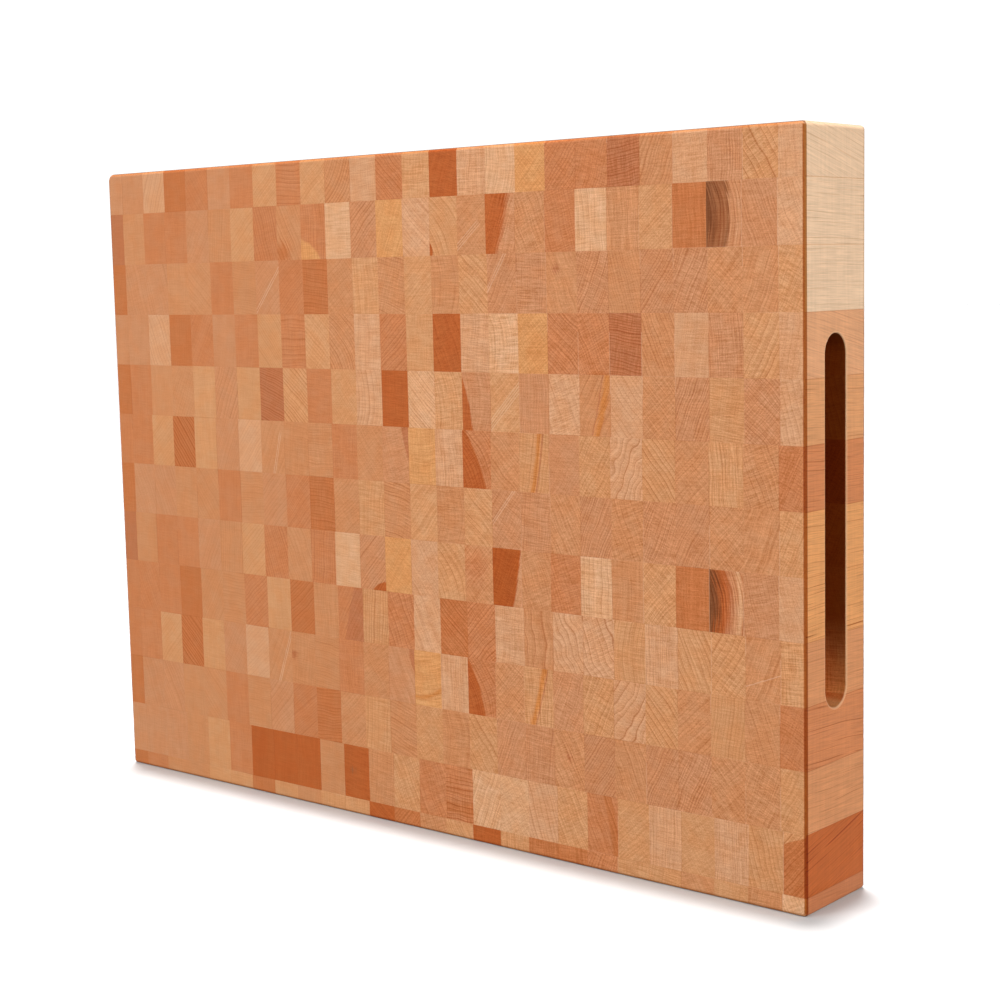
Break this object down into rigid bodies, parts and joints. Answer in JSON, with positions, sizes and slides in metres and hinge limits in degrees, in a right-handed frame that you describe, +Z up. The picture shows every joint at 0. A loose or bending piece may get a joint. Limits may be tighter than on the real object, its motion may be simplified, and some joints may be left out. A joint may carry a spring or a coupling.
{
  "type": "end-grain butcher-block cutting board",
  "caption": "Thick reversible end-grain butcher-block cutting board glued up from staggered strips of square-cut wood blocks, with a routed hand grip in each short edge.",
  "frame": {"origin": "centre of the long edge that the board stands on", "axes": "+X along the length towards the right-hand grip, -Y out of the front working face, +Z up the width"},
  "size_m": [0.508, 0.0572, 0.381],
  "materials": {
    "maple_blocks": "oiled satin"
  },
  "bodies": {
    "root": {"strip_01_left_end_block": "maple_blocks", "strip_01_field_blocks": "maple_blocks", "strip_01_right_end_block": "maple_blocks", "strip_02_left_end_block": "maple_blocks", "strip_02_field_blocks": "maple_blocks", "strip_02_right_end_block": "maple_blocks", "strip_03_left_end_block": "maple_blocks", "strip_03_field_blocks": "maple_blocks", "strip_03_right_end_block": "maple_blocks", "strip_04_left_end_block": "maple_blocks", "strip_04_field_blocks": "maple_blocks", "strip_04_right_end_block": "maple_blocks", "strip_05_left_end_block": "maple_blocks", "strip_05_field_blocks": "maple_blocks", "strip_05_right_end_block": "maple_blocks", "strip_06_left_end_block": "maple_blocks", "strip_06_field_blocks": "maple_blocks", "strip_06_right_end_block": "maple_blocks", "strip_07_left_end_block": "maple_blocks", "strip_07_field_blocks": "maple_blocks", "strip_07_right_end_block": "maple_blocks", "strip_08_left_end_block": "maple_blocks", "strip_08_field_blocks": "maple_blocks", "strip_08_right_end_block": "maple_blocks", "strip_09_left_end_block": "maple_blocks", "strip_09_field_blocks": "maple_blocks", "strip_09_right_end_block": "maple_blocks", "strip_10_left_end_block": "maple_blocks", "strip_10_field_blocks": "maple_blocks", "strip_10_right_end_block": "maple_blocks", "strip_11_left_end_block": "maple_blocks", "strip_11_field_blocks": "maple_blocks", "strip_11_right_end_block": "maple_blocks", "strip_12_left_end_block": "maple_blocks", "strip_12_field_blocks": "maple_blocks", "strip_12_right_end_block": "maple_blocks", "strip_13_left_end_block": "maple_blocks", "strip_13_field_blocks": "maple_blocks", "strip_13_right_end_block": "maple_blocks"}
  },
  "joints": []
}
